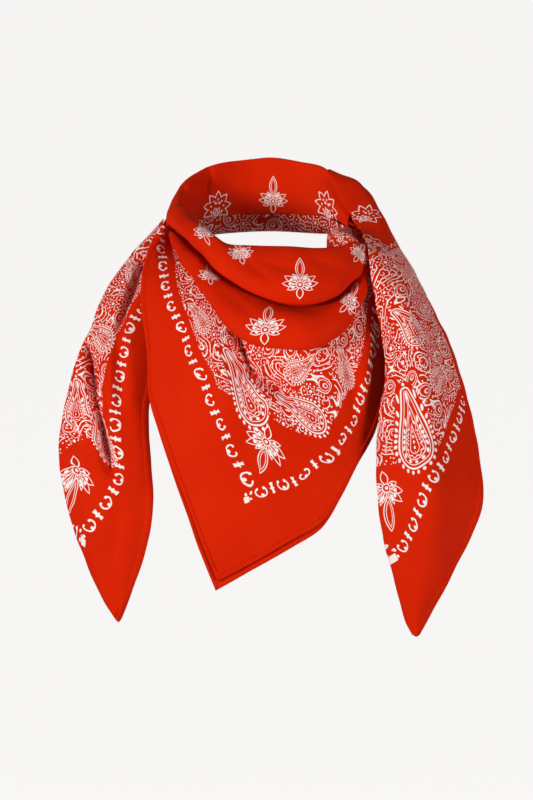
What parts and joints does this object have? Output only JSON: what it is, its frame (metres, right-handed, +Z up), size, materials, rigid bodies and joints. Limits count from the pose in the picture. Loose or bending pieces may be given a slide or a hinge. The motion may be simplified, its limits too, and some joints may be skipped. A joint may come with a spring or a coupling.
{
  "type": "bandana",
  "caption": "Large square bandana with a paisley border, folded to a triangle and worn round the neck, the point at the front and both ends brought forward",
  "frame": {"origin": "middle of the neck loop, at the height of the opening's front edge", "axes": "+Z up as worn, -Y the wearer's front, +X to the right as seen from the front"},
  "size_m": [0.3311, 0.2005, 0.3597],
  "materials": {
    "cloth": "matte"
  },
  "bodies": {
    "root": {"neck_band": "cloth", "neck_wrap": "cloth", "cowl_upper": "cloth", "cowl_lower": "cloth", "gather_roll": "cloth", "front_panel": "cloth", "front_under": "cloth", "end_left": "cloth", "end_right": "cloth"}
  },
  "joints": []
}
